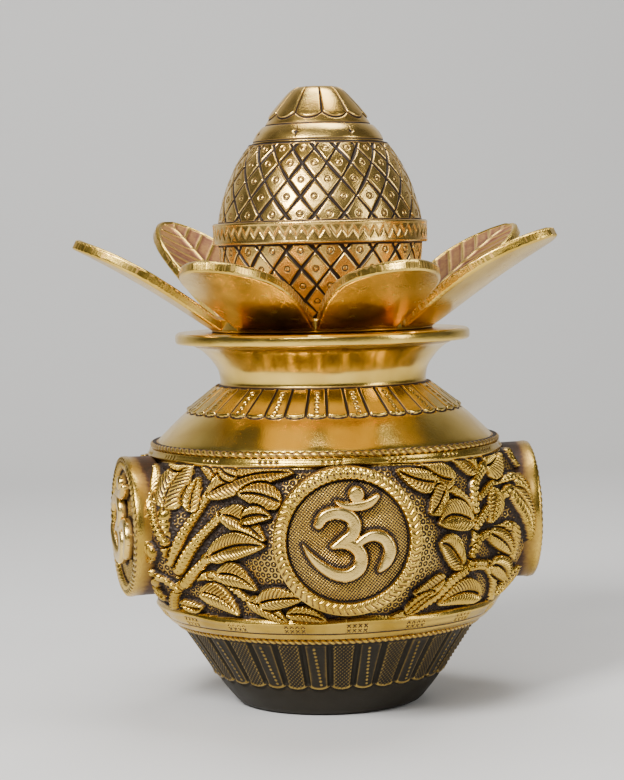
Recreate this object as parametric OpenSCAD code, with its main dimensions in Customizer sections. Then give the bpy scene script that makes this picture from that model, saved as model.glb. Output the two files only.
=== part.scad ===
// Brass kalash: a footless water pot with a foliage belly and four medallions, closed by a lift-off lid
// of seven mango leaves round a coconut. Millimetres. +Z is up, the origin is the middle of the flat base,
// and the front medallion faces -Y. Turned pieces are outlines spun about Z; cast leaves are swept solids.

/* [Pot] */
// Radius of the flat base that the pot stands on
base_r = 36; // [34:0.5:38]
// Radius of the belly drum at its fullest, half way up its foliage relief
belly_r = 75.5; // [74:0.5:77]
// Radius of the neck at its narrowest
neck_r = 42.7; // [42:0.1:44]
// Radius of the mouth flange
flange_r = 61; // [57:0.5:64]
// Height of the mouth flange's top face above the base
pot_h = 154; // [150:1:158]
// Wall thickness of the pot's cast shells
wall = 3; // [2.6:0.1:3.4]

/* [Medallions] */
// Radius of each medallion disc
medal_r = 28.4; // [26:0.2:28.6]
// Distance from the pot's axis to a medallion's face
medal_face = 84.5; // [83:0.5:86]
// Height of the medallions' centres above the base
medal_z = 76.5; // [75.5:0.5:77.5]
// Height of the Om sign above the medallion's face
om_h = 4; // [2.5:0.1:4.5]

/* [Lid] */
// Length of a mango leaf from the cup's rim to its tip
leaf_len = 65; // [62:1:68]
// Angle of the first of the seven leaves, from the front towards +X
leaf_start = 13; // [0:1:45]
// Slope of the leaves at the pot's sides
leaf_rise = 32; // [30:1:34]
// How much lower the front leaves are bent, and how much higher the back ones stand
leaf_swing = 9; // [4:1:10]
// Half of a leaf's greatest width
leaf_half_w = 20.5; // [18:0.5:21]
// Thickness of a cast leaf
leaf_t = 4.6; // [4:0.1:5]
// Radius of the belt round the coconut
belt_r = 44.3; // [44:0.1:45]
// Height of the coconut's top above the base
top_z = 254; // [250:1:258]
// Radial play between the lid's locating collar and the pot's mouth
collar_play = 0.6; // [0.4:0.1:1]

/* [Hidden] */

$fn = 96;
brass = "#b8903c";
old_brass = "#8f6a26";

// Seams of the pot's shells: heights and outer radii
bowl_top = 35.5;
band_top = 107;
neck_foot = 131.5;
bowl_rim_r = 61.6;
band_foot_r = 63.6;     // the band's lip overhangs the bowl
shoulder_r = 69.4;      // the shoulder's foot stands inside the upper rope
lower_rope_w = 2.2;
upper_rope_w = 2.6;
// The mouth
flange_t = 4.6;
mouth_r = 41;           // bored seat in the neck for the collar
collar_h = 11;
// The lid
cup_rim_r = 46;
cup_t = 3.2;
coconut_r = 42.2;
seam_z = 194;           // where the coconut's two shells meet
belt_h = 9;
cap_z = 230.5;          // where the cap sits on the coconut
stud_r = 3;
run = 0.06;             // running clearance round the stud
// Each medallion's angle round the pot, from the front towards +X, as set by eye
medal_turns = [0, 91, 180, -80];
leaf_count = 7;
leaf_bend = 10;         // how much a leaf's slope eases from root to tip
// How far hand work left each leaf from an even spacing and from the slope of its neighbours
leaf_nudges = [0, -4, 0, 0, 2, 0, 8];
leaf_lifts = [-2, 5, 0, 0, 2, 0, -2];
leaf_cup = 2.2;         // how far a leaf's edges stand above its midrib
root_gap = 0.1;         // brazing gap between a leaf's root and the cup

// ---- outlines ----

// Catmull-Rom points through p, n to each stretch
function spline(p, n = 6) = [
    for (i = [0 : len(p) - 2])
        let (a = p[max(i - 1, 0)], b = p[i], c = p[i + 1], d = p[min(i + 2, len(p) - 1)])
        for (k = [0 : n - (i == len(p) - 2 ? 0 : 1)])
            let (t = k / n)
            0.5 * (2 * b + (c - a) * t + (2 * a - 5 * b + 4 * c - d) * t * t
                + (3 * b - a - 3 * c + d) * t * t * t)
];
function backwards(p) = [for (i = [len(p) - 1 : -1 : 0]) p[i]];
// Unit direction of the outline at point i
function along(p, i) =
    let (d = p[min(i + 1, len(p) - 1)] - p[max(i - 1, 0)]) d / norm(d);
// The outline moved inwards by t, for an outline that climbs with its inside on its left
function inset(p, t) = [for (i = [0 : len(p) - 1]) let (d = along(p, i)) p[i] + t * [-d[1], d[0]]];
// Points of a round stretch about c
function arc(c, r, a0, a1, n = 6) =
    [for (k = [0 : n]) let (a = a0 + (a1 - a0) * k / n) c + r * [cos(a), sin(a)]];

// Faces outwards from the pot's axis at a turn round it, 0 being the front
module facing(turn) { rotate([0, 0, turn]) rotate([90, 0, 0]) children(); }

// ---- the pot's shells ----

bowl_side = spline([[base_r + 3.4, 2], [45, 9], [51, 18.5], [57.6, 28.5], [bowl_rim_r, 34.4]], 2);
module lower_bowl() {
    inner = [[bowl_rim_r - wall, bowl_top], [bowl_rim_r - wall - 0.4, 33.5], [54.2, 28], [42.4, 10],
        [39.8, 4.5], [0, 4.5]];
    color(old_brass) rotate_extrude() polygon(concat(
        [[0, 0]], arc([base_r, 3.5], 3.5, -90, -25, 3), bowl_side, [[bowl_rim_r, bowl_top]], inner));
}
// A bead wire of half-round section round a cylinder of radius r, twisted like a rope on the real piece
module rope_ring(r, z, w) {
    bead = arc([r + 0.8, z + w / 2], w / 2, -90, 90);
    color(brass) rotate_extrude() polygon(concat([[r, z]], bead, [[r, z + w]]));
}
belly_side = spline([[band_foot_r, bowl_top], [68, 38], [71.2, 43], [belly_r, 60], [belly_r, 86], [73.6, 102],
    [72.4, band_top]], 3);
module belly_band() {
    inner = [[bowl_rim_r - wall, bowl_top], [67.2, 41], [belly_r - 3.4, 58], [belly_r - 3.4, 88], [70.2, 102],
        [shoulder_r - wall, band_top]];
    color(brass) rotate_extrude() polygon(concat(belly_side, backwards(inner)));
}
shoulder_side = spline([[shoulder_r, band_top + upper_rope_w], [66, 113], [57.6, 120.8]], 4);
module shoulder() {
    side = concat(shoulder_side, [[neck_r + 1.3, neck_foot]]);
    color(brass) rotate_extrude() polygon(concat(
        [[shoulder_r - wall, band_top], [shoulder_r, band_top]], side,
        [[neck_r - wall, neck_foot]], backwards(inset(side, wall))));
}
module neck() {
    rim_z = pot_h - flange_t;
    side = spline([[neck_r + 0.6, neck_foot], [neck_r, 134], [neck_r + 1.4, 139.5], [49.4, 146],
        [54.5, rim_z - 0.6], [57, rim_z]], 3);
    inner = [[neck_r - wall, neck_foot], [mouth_r - 1.4, 139.5], [mouth_r, pot_h - collar_h - 1.5]];
    color(brass) rotate_extrude() polygon(concat(
        side, arc([flange_r - 0.8, rim_z + 0.8], 0.8, -90, 0, 3),
        arc([flange_r - 0.8, pot_h - 0.8], 0.8, 0, 90, 3), [[mouth_r, pot_h]], backwards(inner)));
}

// ---- the medallions ----

// Everything inside the belly's outer surface, which the medallions are filed to fit
module belly_core() {
    rotate_extrude() polygon(concat([for (p = belly_side) p + [0.02, 0]], [[0, band_top], [0, bowl_top]]));
}
// A disc with a raised rounded ring round its face, standing on the belly
module medallion(turn) {
    w = 5.2;
    root = 58;
    hollow_h = medal_face - root - 3.4;
    ring = [for (k = [0 : 8]) [medal_r - w * k / 8, medal_face - root + 0.4 + 1.2 * sin(180 * k / 8)]];
    color(brass) difference() {
        facing(turn) translate([0, medal_z, root]) rotate_extrude()
            polygon(concat([[medal_r - 3.6, 0], [medal_r, 0]], ring, [[medal_r - w, medal_face - root],
                [0, medal_face - root], [0, hollow_h], [medal_r - 5.6, hollow_h],
                [medal_r - 3.6, hollow_h - 2]]));
        belly_core();
    }
}
// A stroke bent to an arc, with round ends
module stroke(c, r, a0, a1, w) {
    polygon(concat(
        arc(c, r + w / 2, a0, a1, 10), arc(c + r * [cos(a1), sin(a1)], w / 2, a1 + 30, a1 + 150, 4),
        arc(c, r - w / 2, a1, a0, 10), arc(c + r * [cos(a0), sin(a0)], w / 2, a0 + 210, a0 + 330, 4)));
}
module om(turn) {
    color(brass) facing(turn) translate([0, medal_z, medal_face]) linear_extrude(om_h) {
        stroke([-4, 5.2], 6, -70, 160, 4.2);          // upper bowl
        stroke([-3.6, -7.4], 7, -105, 80, 4.2);       // lower bowl
        stroke([0.5, 1.6], 17, -170, -108, 3.2);      // tail
        stroke([9.8, -4.6], 6.2, -40, 165, 4);        // curl
    }
}
// The crescent over the sign, with the dot that sits in it
module crescent(turn) {
    color(brass) facing(turn) translate([0, medal_z, medal_face]) linear_extrude(om_h) {
        stroke([5.2, 21], 8, 210, 325, 3.2);
        polygon(arc([4.6, 17.6], 3.3, 0, 345, 23));
    }
}

// ---- the lid ----

web_z = pot_h - 2.6;
module locating_collar() {
    r = mouth_r - collar_play;
    color(brass) rotate_extrude() polygon([
        [stud_r + run, web_z], [r - 3, web_z], [r - 3, pot_h - collar_h], [r - 0.8, pot_h - collar_h],
        [r, pot_h - collar_h + 0.8], [r, pot_h], [stud_r + run, pot_h]]);
}
cup_seat = pot_h + cup_t;
module crown_cup() {
    color(brass) rotate_extrude() polygon(concat(
        [[stud_r + run, pot_h], [cup_rim_r - 1.2, pot_h]], arc([cup_rim_r - 1, pot_h + 1], 1, -60, 0, 3),
        [[cup_rim_r, pot_h + 5.7], [cup_rim_r - 1, pot_h + 6], [cup_rim_r - 4, cup_seat],
        [stud_r + run, cup_seat]]));
}
// A leaf's half width, its slope and its place along its own line, for s from 0 at the root to 1 at the tip
function leaf_w(s) =
    leaf_half_w * (s < 0.45 ? 1 - 0.18 * pow(1 - s / 0.45, 2) : pow(1 - pow((s - 0.45) / 0.56, 2.2), 0.62));
function leaf_turn(i) = leaf_start + i * 360 / leaf_count + leaf_nudges[i];
function leaf_slope(s, i) =
    leaf_rise + leaf_lifts[i] - leaf_swing * cos(leaf_turn(i)) + leaf_bend * (0.5 - s);
function leaf_line(s, i) =
    let (a0 = leaf_slope(0, i), a1 = leaf_slope(s, i), k = leaf_len / leaf_bend * 180 / PI)
    [cup_rim_r + root_gap, pot_h + 3.3] + k * [sin(a0) - sin(a1), cos(a1) - cos(a0)];
// One closed ring of points round the leaf: over the top from edge to edge, then back underneath.
// The root is curved and upright, so that it meets the cup's rim.
function leaf_ring(s, i, n) =
    let (c = leaf_line(s, i), free = 1 - pow(1 - s, 8), a = free * leaf_slope(s, i), w = leaf_w(s))
    [for (side = [1, -1]) for (k = [0 : n])
        let (t = side * (2 * k / n - 1), edge = pow(abs(t), 6),
             up = free * leaf_cup * pow(t * w / leaf_half_w, 2) + side * leaf_t / 2 * (1 - 0.35 * edge),
             back = (1 - free) * (cup_rim_r - sqrt(pow(cup_rim_r, 2) - pow(t * w, 2))))
        [c[0] - back - up * sin(a), t * w, c[1] + up * cos(a)]];
module leaf(i) {
    steps = 18;
    n = 8;
    m = 2 * n + 2;
    color(brass) rotate([0, 0, leaf_turn(i) - 90])
        polyhedron(
            points = [for (j = [0 : steps]) each leaf_ring(j / steps, i, n)],
            faces = concat(
                [for (j = [0 : steps - 1]) for (k = [0 : m - 1])
                    [j * m + k, (j + 1) * m + k, (j + 1) * m + (k + 1) % m, j * m + (k + 1) % m]],
                [for (k = [0 : n - 1]) [k, k + 1, m - 2 - k, m - 1 - k]],
                [for (k = [0 : n - 1]) [for (v = [m - 1 - k, m - 2 - k, k + 1, k]) steps * m + v]]));
}
coconut_foot = cup_seat;
coconut_wall = 2.5;
boss_h = 8;             // boss inside the coconut that holds the stud
belt_z = seam_z - belt_h / 2;
lower_side = concat(
    spline([[24, coconut_foot], [31.5, 162.5], [38, 171], [41.3, 181], [coconut_r, belt_z]], 4),
    [[coconut_r, seam_z]]);
module coconut_lower() {
    color(brass) rotate_extrude() polygon(concat(
        [[stud_r + run, coconut_foot]], lower_side, backwards(inset(lower_side, coconut_wall)),
        [[9, coconut_foot + 3], [9, coconut_foot + boss_h], [stud_r + run, coconut_foot + boss_h]]));
}
module coconut_belt() {
    color(brass) rotate_extrude() polygon([
        [coconut_r, belt_z], [belt_r - 0.5, belt_z], [belt_r, belt_z + 0.7], [belt_r, belt_z + belt_h - 0.7],
        [belt_r - 0.5, belt_z + belt_h], [coconut_r, belt_z + belt_h]]);
}
upper_side = concat([[coconut_r, seam_z]],
    spline([[coconut_r, belt_z + belt_h], [41, 204.5], [38.2, 213.5], [33.8, 223], [28.6, cap_z]], 4));
module coconut_upper() {
    color(brass) rotate_extrude()
        polygon(concat(upper_side, [[22, cap_z]], backwards(inset(upper_side, coconut_wall))));
}
module coconut_cap() {
    tuft = spline([[21.4, 238.2], [18.9, 243], [14.6, 248], [10.4, top_z - 1.8], [6.5, top_z - 0.3]], 5);
    color(brass) rotate_extrude() polygon(concat(
        [[22, cap_z], [26.6, cap_z]], spline([[27.3, 231.2], [25.4, 235], [22.6, 238]], 3),
        tuft, [[0, top_z], [0, top_z - 3.2]], backwards(inset(tuft, 3))));
}
nut_h = 4.8;
washer_h = 1.6;
module lid_stud() {
    foot = web_z - washer_h - nut_h - 1;
    color("silver") translate([0, 0, foot]) cylinder(r = stud_r, h = coconut_foot + boss_h + 2 - foot);
}
module lid_washer() {
    color("silver") translate([0, 0, web_z - washer_h]) difference() {
        cylinder(r = 9, h = washer_h);
        translate([0, 0, -1]) cylinder(r = stud_r + run, h = washer_h + 2);
    }
}
module lid_nut() {
    color("silver") translate([0, 0, web_z - washer_h - nut_h]) difference() {
        cylinder(d = 11.5, h = nut_h, $fn = 6);
        translate([0, 0, -1]) cylinder(r = stud_r + run, h = nut_h + 2);
    }
}

lower_bowl();
rope_ring(bowl_rim_r, bowl_top - lower_rope_w, lower_rope_w);  // lower_rope_ring
belly_band();
rope_ring(shoulder_r, band_top, upper_rope_w);  // upper_rope_ring
shoulder();
neck();
medallion(medal_turns[0]);  // medallion_front
medallion(medal_turns[1]);  // medallion_right
medallion(medal_turns[2]);  // medallion_back
medallion(medal_turns[3]);  // medallion_left
om(medal_turns[0]);  // om_front
om(medal_turns[1]);  // om_right
om(medal_turns[2]);  // om_back
om(medal_turns[3]);  // om_left
crescent(medal_turns[0]);  // crescent_front
crescent(medal_turns[1]);  // crescent_right
crescent(medal_turns[2]);  // crescent_back
crescent(medal_turns[3]);  // crescent_left
locating_collar();
crown_cup();
leaf(0);  // leaf_1
leaf(1);  // leaf_2
leaf(2);  // leaf_3
leaf(3);  // leaf_4
leaf(4);  // leaf_5
leaf(5);  // leaf_6
leaf(6);  // leaf_7
coconut_lower();
coconut_belt();
coconut_upper();
coconut_cap();
lid_stud();
lid_washer();
lid_nut();
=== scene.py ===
import math
import bpy
import numpy as np
from mathutils import Matrix, Vector


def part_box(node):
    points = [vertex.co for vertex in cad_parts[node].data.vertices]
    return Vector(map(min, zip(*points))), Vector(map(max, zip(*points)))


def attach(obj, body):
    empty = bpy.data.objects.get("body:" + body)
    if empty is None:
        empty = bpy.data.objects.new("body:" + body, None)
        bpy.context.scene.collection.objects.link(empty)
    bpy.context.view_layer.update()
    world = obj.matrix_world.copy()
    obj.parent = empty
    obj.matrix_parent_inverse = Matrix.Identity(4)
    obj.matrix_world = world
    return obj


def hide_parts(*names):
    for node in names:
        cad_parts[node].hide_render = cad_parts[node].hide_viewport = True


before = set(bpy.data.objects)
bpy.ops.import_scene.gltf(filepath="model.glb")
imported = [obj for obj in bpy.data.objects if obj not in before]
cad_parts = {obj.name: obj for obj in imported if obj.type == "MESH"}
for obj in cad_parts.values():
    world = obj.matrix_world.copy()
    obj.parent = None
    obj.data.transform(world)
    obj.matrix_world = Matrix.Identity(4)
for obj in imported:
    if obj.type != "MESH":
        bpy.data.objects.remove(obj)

# The brass kalash, shaped as relief on turned and cast surfaces. Lengths are millimetres until a mesh is
# made. Angles are degrees round the pot from the front (-Y) towards +X.
MM = 0.001
TAU = 2 * math.pi
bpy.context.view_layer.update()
rng = np.random.default_rng(11)


def span(node):
    """Lowest and highest corners of a CAD node, in millimetres."""
    low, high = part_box(node)
    return np.array(low) / MM, np.array(high) / MM


BOWL_TOP = span("lower_bowl")[1][2]
BAND_TOP = span("belly_band")[1][2]
BELLY_R = span("belly_band")[1][0]
ROPE_TOP = span("upper_rope_ring")[1][2]
NECK_FOOT = span("neck")[0][2]
POT_H = span("neck")[1][2]
FLANGE_R = span("neck")[1][0]
COCONUT_FOOT = span("coconut_lower")[0][2]
SEAM_Z = span("coconut_lower")[1][2]
CAP_Z = span("coconut_cap")[0][2]
TOP_Z = span("coconut_cap")[1][2]
BELT_R = span("coconut_belt")[1][0]
MEDAL_Z = (span("medallion_front")[0][2] + span("medallion_front")[1][2]) / 2
MEDAL_R = (span("medallion_front")[1][2] - span("medallion_front")[0][2]) / 2
MEDAL_OUT = -span("medallion_front")[0][1]
SIGN_OUT = -span("om_front")[0][1]
FACE = -span("om_front")[1][1]
MEDALS = {"front": 0, "right": 91, "back": 180, "left": -80}


# ---- grids and meshes ----

def spline(points, step=0.3):
    """Catmull-Rom curve through the points."""
    p = np.array(points, float)
    ends = np.vstack([2 * p[0] - p[1], p, 2 * p[-1] - p[-2]])
    out = []
    for a, b, c, d in zip(ends, ends[1:], ends[2:], ends[3:]):
        t = np.linspace(0, 1, max(3, int(np.linalg.norm(c - b) / step)), endpoint=False)[:, None]
        square = 2 * a - 5 * b + 4 * c - d
        cube = 3 * b - a - 3 * c + d
        out.append(0.5 * (2 * b + (c - a) * t + square * t**2 + cube * t**3))
    return np.vstack(out + [p[-1:]])


def even(points, count):
    """The same line with count points evenly spaced along it."""
    p = np.array(points, float)
    s = length_along(p)
    at = np.linspace(0, s[-1], count)
    return np.stack([np.interp(at, s, p[:, k]) for k in range(p.shape[1])], axis=1)


def length_along(p):
    """How far along the line each of its points lies."""
    return np.r_[0, np.cumsum(np.linalg.norm(np.diff(p, axis=0), axis=1))]


def smooth(x):
    """A soft step from 0 to 1 as x goes from 0 to 1."""
    x = np.clip(x, 0, 1)
    return x * x * (3 - 2 * x)


def bump(x):
    """A soft ridge that is 1 where x is 0."""
    return np.exp(-np.square(x))


def blur(a, rows, cols, wrap):
    """Gaussian blur of a grid, with widths in cells. Columns wrap round on a closed ring."""
    pad_r, pad_c = int(3 * rows) + 1, 0 if wrap else int(3 * cols) + 1
    b = np.pad(a, ((pad_r, pad_r), (pad_c, pad_c)), mode="edge")
    fr = np.exp(-2 * np.square(math.pi * rows * np.fft.fftfreq(b.shape[0])))[:, None]
    fc = np.exp(-2 * np.square(math.pi * cols * np.fft.rfftfreq(b.shape[1])))[None, :]
    b = np.fft.irfft2(np.fft.rfft2(b) * fr * fc, b.shape)
    return b[pad_r:pad_r + a.shape[0], pad_c:pad_c + a.shape[1]]


CELL = 0.4                  # typical size of a turned grid's cells
NEAR, FAR = 0.55, 2.4       # how far the patina of sharp hollows and of broad low places reaches


def grime(h, cell, wrap, fine=2.4, wide=0.55):
    """Where patina stays after the high points are rubbed: near sharp hollows and in broad low places."""
    near = blur(h, NEAR / cell, NEAR / cell, wrap)
    far = blur(h, FAR / cell, FAR / cell, wrap)
    return fine * (near - h) + wide * (far - h)


def wander(shape, cell, size, wrap=True):
    """Smooth seeded unevenness from about -1 to 1, with features of that size."""
    a = blur(rng.standard_normal(shape), size / cell, size / cell, wrap)
    return a / (2 * a.std() + 1e-9)


def make_object(name, points, quads, patina_and_shade, extra=()):
    """A mesh object from millimetre points, quads and other faces, with the patina and some painted shade
    kept on its points.
    """
    points = np.asarray(points, np.float32) * MM
    sizes = [4] * len(quads) + [len(f) for f in extra]
    loops = np.concatenate([np.asarray(quads, np.int32).ravel()] + [np.asarray(f, np.int32) for f in extra])
    starts = np.r_[0, np.cumsum(sizes)[:-1]].astype(np.int32)
    me = bpy.data.meshes.new(name)
    me.vertices.add(len(points))
    me.vertices.foreach_set("co", points.ravel())
    me.loops.add(len(loops))
    me.loops.foreach_set("vertex_index", loops)
    me.polygons.add(len(sizes))
    me.polygons.foreach_set("loop_start", starts)
    me.polygons.foreach_set("use_smooth", np.ones(len(sizes), bool))
    me.update(calc_edges=True)
    me.validate()
    # Patina, and painted shade on the bowl and on the medallions' walls, kept on the points.
    kept = me.attributes.new("patina_and_shade", "FLOAT", "POINT")
    kept.data.foreach_set("value", np.asarray(patina_and_shade, np.float32).ravel())
    ob = bpy.data.objects.new(name, me)
    bpy.context.scene.collection.objects.link(ob)
    return ob


def grid_quads(rows, cols, wrap):
    """Quads between the points of a grid, with the last column joined to the first one on a closed ring."""
    r = np.arange(rows - 1)[:, None]
    c = np.arange(cols if wrap else cols - 1)[None, :]
    d = (c + 1) % cols
    corners = [r * cols + c, r * cols + d, (r + 1) * cols + d, (r + 1) * cols + c]
    return np.stack(corners, -1).reshape(-1, 4)


def place(piece, body, nodes, material):
    """Gives a piece its body, the CAD nodes that it replaces and its material."""
    for node in nodes:
        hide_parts(node)
    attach(piece, body)
    piece.data.materials.append(material)
    return piece


INSIDE_PATINA = 0.35
AXIS_GAP = 0.6      # a line with both ends nearer to the axis than this gets a small cap at each


def turned(name, outer, inner, columns, relief=None, turn=None):
    """A solid turned about the pot's axis. outer climbs up the outside and carries the relief; inner comes
    back down the inside. turn = (from, to) makes a sector of it."""
    wrap = turn is None
    low, high = (0, 360) if wrap else turn
    theta = np.radians(np.linspace(low, high, columns, endpoint=not wrap))
    line = np.vstack([outer, inner])
    s = length_along(outer)
    h = np.zeros((len(outer), columns))
    patina_and_shade = np.zeros_like(h)
    if relief:
        h, patina_and_shade = relief(np.degrees(theta)[None, :] + h, s[:, None] + h, outer[:, 1][:, None] + h)
    tangent = np.gradient(outer, axis=0)
    tangent /= np.linalg.norm(tangent, axis=1)[:, None] + 1e-9
    rr = line[:, 0][:, None] + np.zeros((1, columns))
    zz = line[:, 1][:, None] + np.zeros((1, columns))
    rr[:len(outer)] += tangent[:, 1][:, None] * h
    zz[:len(outer)] -= tangent[:, 0][:, None] * h
    points = np.stack([rr * np.sin(theta), -rr * np.cos(theta), zz], -1).reshape(-1, 3)
    rows = len(line)
    inside = np.full((len(inner), columns), INSIDE_PATINA)
    quads = grid_quads(rows, columns, wrap)
    extra = []
    if max(line[0, 0], line[-1, 0]) > AXIS_GAP:
        c = np.arange(columns if wrap else columns - 1)
        d = (c + 1) % columns
        top = (rows - 1) * columns
        quads = np.vstack([quads, np.stack([top + c, top + d, d, c], -1)])
    else:
        extra = [np.arange(columns)[::-1], (rows - 1) * columns + np.arange(columns)]
    if not wrap:
        side = np.arange(rows) * columns
        extra += [side, (side + columns - 1)[::-1]]
    return make_object(name, points, quads, np.vstack([patina_and_shade, inside]), extra)


# ---- hand punches and cuts, on any pair of coordinates in millimetres ----

def ring_mark(d, r=0.75):
    """A ring punch of radius r at distance d."""
    return 0.12 * bump((d - r - 0.45) / 0.2) - 0.42 * bump((d - r) / 0.24) + 0.1 * bump(d / (0.5 * r))


def cuts(x, pitch, depth):
    """Parallel cuts along x."""
    return -depth * np.square(0.5 + 0.5 * np.cos(TAU * x / pitch))


def stipple(x, y, pitch, depth):
    return depth * np.cos(TAU * x / pitch) * np.cos(TAU * y / pitch)


# ---- materials ----

def brass(name, bright, deep, rough, worn=1.0, grain=0.12,
          residue=(0.24, 0.085, 0.02), dark=(0.022, 0.012, 0.006)):
    """Brass in two tones, with residue where the patina starts and a dark coat where it is thick; the same
    coat is painted shade where the mask holds shade.
    """
    m = bpy.data.materials.new(name)
    m.use_nodes = True
    nt = m.node_tree
    shader = nt.nodes["Principled BSDF"]
    new, link = nt.nodes.new, nt.links.new

    def noise(scale, detail, stretch=(1, 1, 1)):
        at, size, n = new("ShaderNodeTexCoord"), new("ShaderNodeMapping"), new("ShaderNodeTexNoise")
        size.inputs["Scale"].default_value = stretch
        n.inputs["Scale"].default_value = scale
        n.inputs["Detail"].default_value = detail
        link(at.outputs["Object"], size.inputs["Vector"])
        link(size.outputs["Vector"], n.inputs["Vector"])
        return n.outputs["Fac"]

    def math_node(op, a, b, c=None):
        n = new("ShaderNodeMath")
        n.operation = op
        for i, v in enumerate((a, b, c)):
            if v is None:
                continue
            if isinstance(v, (int, float)):
                n.inputs[i].default_value = v
            else:
                link(v, n.inputs[i])
        return n.outputs[0]

    def ramp(fac, stops):
        n = new("ShaderNodeValToRGB")
        while len(n.color_ramp.elements) < len(stops):
            n.color_ramp.elements.new(0.5)
        for e, (pos, col) in zip(n.color_ramp.elements, stops):
            e.position = pos
            e.color = (*col, 1)
        link(fac, n.inputs["Fac"])
        return n.outputs["Color"]

    # The mask of patina and painted shade kept on the mesh's points.
    attr = new("ShaderNodeAttribute")
    attr.attribute_name = "patina_and_shade"
    patches = noise(55, 4)
    fine = noise(700, 3)
    p = math_node("MULTIPLY_ADD", attr.outputs["Fac"], worn, math_node("MULTIPLY_ADD", patches, 0.3, -0.17))
    p = math_node("ADD", p, math_node("MULTIPLY_ADD", fine, 0.16, -0.08))
    metal = ramp(patches, [(0.32, deep), (0.62, bright)])
    cover = ramp(p, [(0.14, (0, 0, 0)), (0.5, (1, 1, 1))])
    tint = ramp(p, [(0.2, residue), (0.6, dark)])
    mix = new("ShaderNodeMix")
    mix.data_type = "RGBA"
    link(cover, mix.inputs["Factor"])
    link(metal, mix.inputs["A"])
    link(tint, mix.inputs["B"])
    link(mix.outputs["Result"], shader.inputs["Base Color"])
    link(math_node("MULTIPLY_ADD", cover, -0.55, 1.0), shader.inputs["Metallic"])
    wear = math_node("MULTIPLY_ADD", noise(160, 5), 0.22, rough - 0.11)
    link(math_node("MULTIPLY_ADD", cover, 0.3, wear), shader.inputs["Roughness"])
    b = new("ShaderNodeBump")
    b.inputs["Strength"].default_value = grain
    b.inputs["Distance"].default_value = 0.0004
    link(noise(1500, 4), b.inputs["Height"])
    link(b.outputs["Normal"], shader.inputs["Normal"])
    return m


ANTIQUE = brass("antique_brass", (0.74, 0.49, 0.09), (0.46, 0.28, 0.035), 0.23, grain=0.2)
COCONUT = brass("coconut_brass", (0.9, 0.6, 0.17), (0.7, 0.42, 0.09), 0.24, grain=0.15)
POLISHED = brass("polished_brass", (0.86, 0.59, 0.13), (0.68, 0.43, 0.07), 0.22, grain=0.1)
LEAF = brass("leaf_brass", (0.86, 0.58, 0.12), (0.62, 0.38, 0.05), 0.24, grain=0.12,
             residue=(0.52, 0.21, 0.09), dark=(0.13, 0.045, 0.02))
SIGN = brass("sign_brass", (0.9, 0.64, 0.2), (0.74, 0.47, 0.1), 0.24, grain=0.2)
# The bowl's brass is a darker brown-gold. It is made darker still as painted shade for the bowl under the
# belly, and as a painted reflection of a dark floor.
BOWL_BRASS_AND_SHADE = brass("bowl_brass", (0.42, 0.28, 0.07), (0.2, 0.13, 0.03), 0.3, worn=1.1, grain=0.2,
             residue=(0.11, 0.065, 0.016), dark=(0.018, 0.013, 0.005))
PLAIN = brass("plain_brass", (0.66, 0.47, 0.16), (0.54, 0.36, 0.1), 0.35)

# ---- lower bowl ----

BOWL_RIM = 61.6
BOWL_TONGUES = 34
BOWL_FOOT_Z = 12.6      # lowest point of the tongues' scalloped feet
DOT_LOW, DOT_PITCH = 15, 1.6


def bowl_relief(theta, s, z):
    """Upright tongues with scalloped feet, by turns stippled and with a column of small rings."""
    pitch = 360 / BOWL_TONGUES
    k = np.round(theta / pitch)
    r_here = np.interp(z, [0, 12.5, 35], [36, 47.6, 61])
    half = math.pi * r_here / BOWL_TONGUES
    x = np.radians(theta - k * pitch) * r_here
    inside = half - 0.75 - np.abs(x)
    foot = BOWL_FOOT_Z + 1.5 * np.square(x / half)
    up = smooth((z - foot) / 0.7) * smooth((BOWL_TOP - 2.6 - z) / 0.5)
    tongue = smooth(inside / 0.55) * up
    h = -1.0 * (z > foot - 0.4) * (1 - smooth(inside / 0.6)) * up + 0.35 * tongue
    h += 0.5 * bump((z - foot - 0.5) / 0.6) * (inside > -0.5) - 0.7 * bump((z - foot + 0.6) / 0.45)
    odd = (k % 2) == 1
    dot_z = np.round((z - DOT_LOW) / DOT_PITCH) * DOT_PITCH + DOT_LOW
    dot = np.hypot(x + 0.1 * (z - 24), z - dot_z)
    rings = 0.6 * bump(dot / 0.5) * (z > 14.6) * (z < BOWL_TOP - 3.6)
    flat = stipple(x, z, 1.6, 0.22) * smooth((inside - 0.5) / 0.5)
    h += tongue * np.where(odd, rings, flat)
    h = (h + 0.05 * wander(h.shape, CELL, 3)) * smooth(z / 2)
    worn = 0.5 * tongue * np.where(odd, 1.3 * rings, 0.9 * flat)
    worn += 0.25 * bump((z - foot - 0.6) / 0.6) * (inside > 0)
    sides = 0.32 * bump((inside - 0.3) / 0.6) * smooth((z - foot - 1) / 1)
    # The even base of 0.66 is partly the bowl's own patina and partly painted shade over the whole bowl.
    return h, np.clip(0.66 + grime(h, CELL, True, 1.3, 0.35) + sides - worn, 0, 1)


bowl_side = spline([(39.4, 2), (45, 9), (51, 18.5), (57.6, 28.5), (BOWL_RIM, 34.4), (BOWL_RIM, BOWL_TOP)])
bowl_edge = spline([(34, 0), (36.4, 0.15), (38.2, 0.9)])
bowl_outer = np.vstack([[(0.3, 0), (12, 0), (24, 0)], even(np.vstack([bowl_edge, bowl_side]), 108)])
bowl_inner = even(spline([(BOWL_RIM - 3, BOWL_TOP), (54.2, 28), (42, 10), (30, 4.5), (0.3, 4.5)]), 12)
place(turned("lower_bowl_relief", bowl_outer, bowl_inner, 23 * BOWL_TONGUES, bowl_relief),
      "pot", ["lower_bowl"], BOWL_BRASS_AND_SHADE)


# ---- twisted ropes ----

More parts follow.
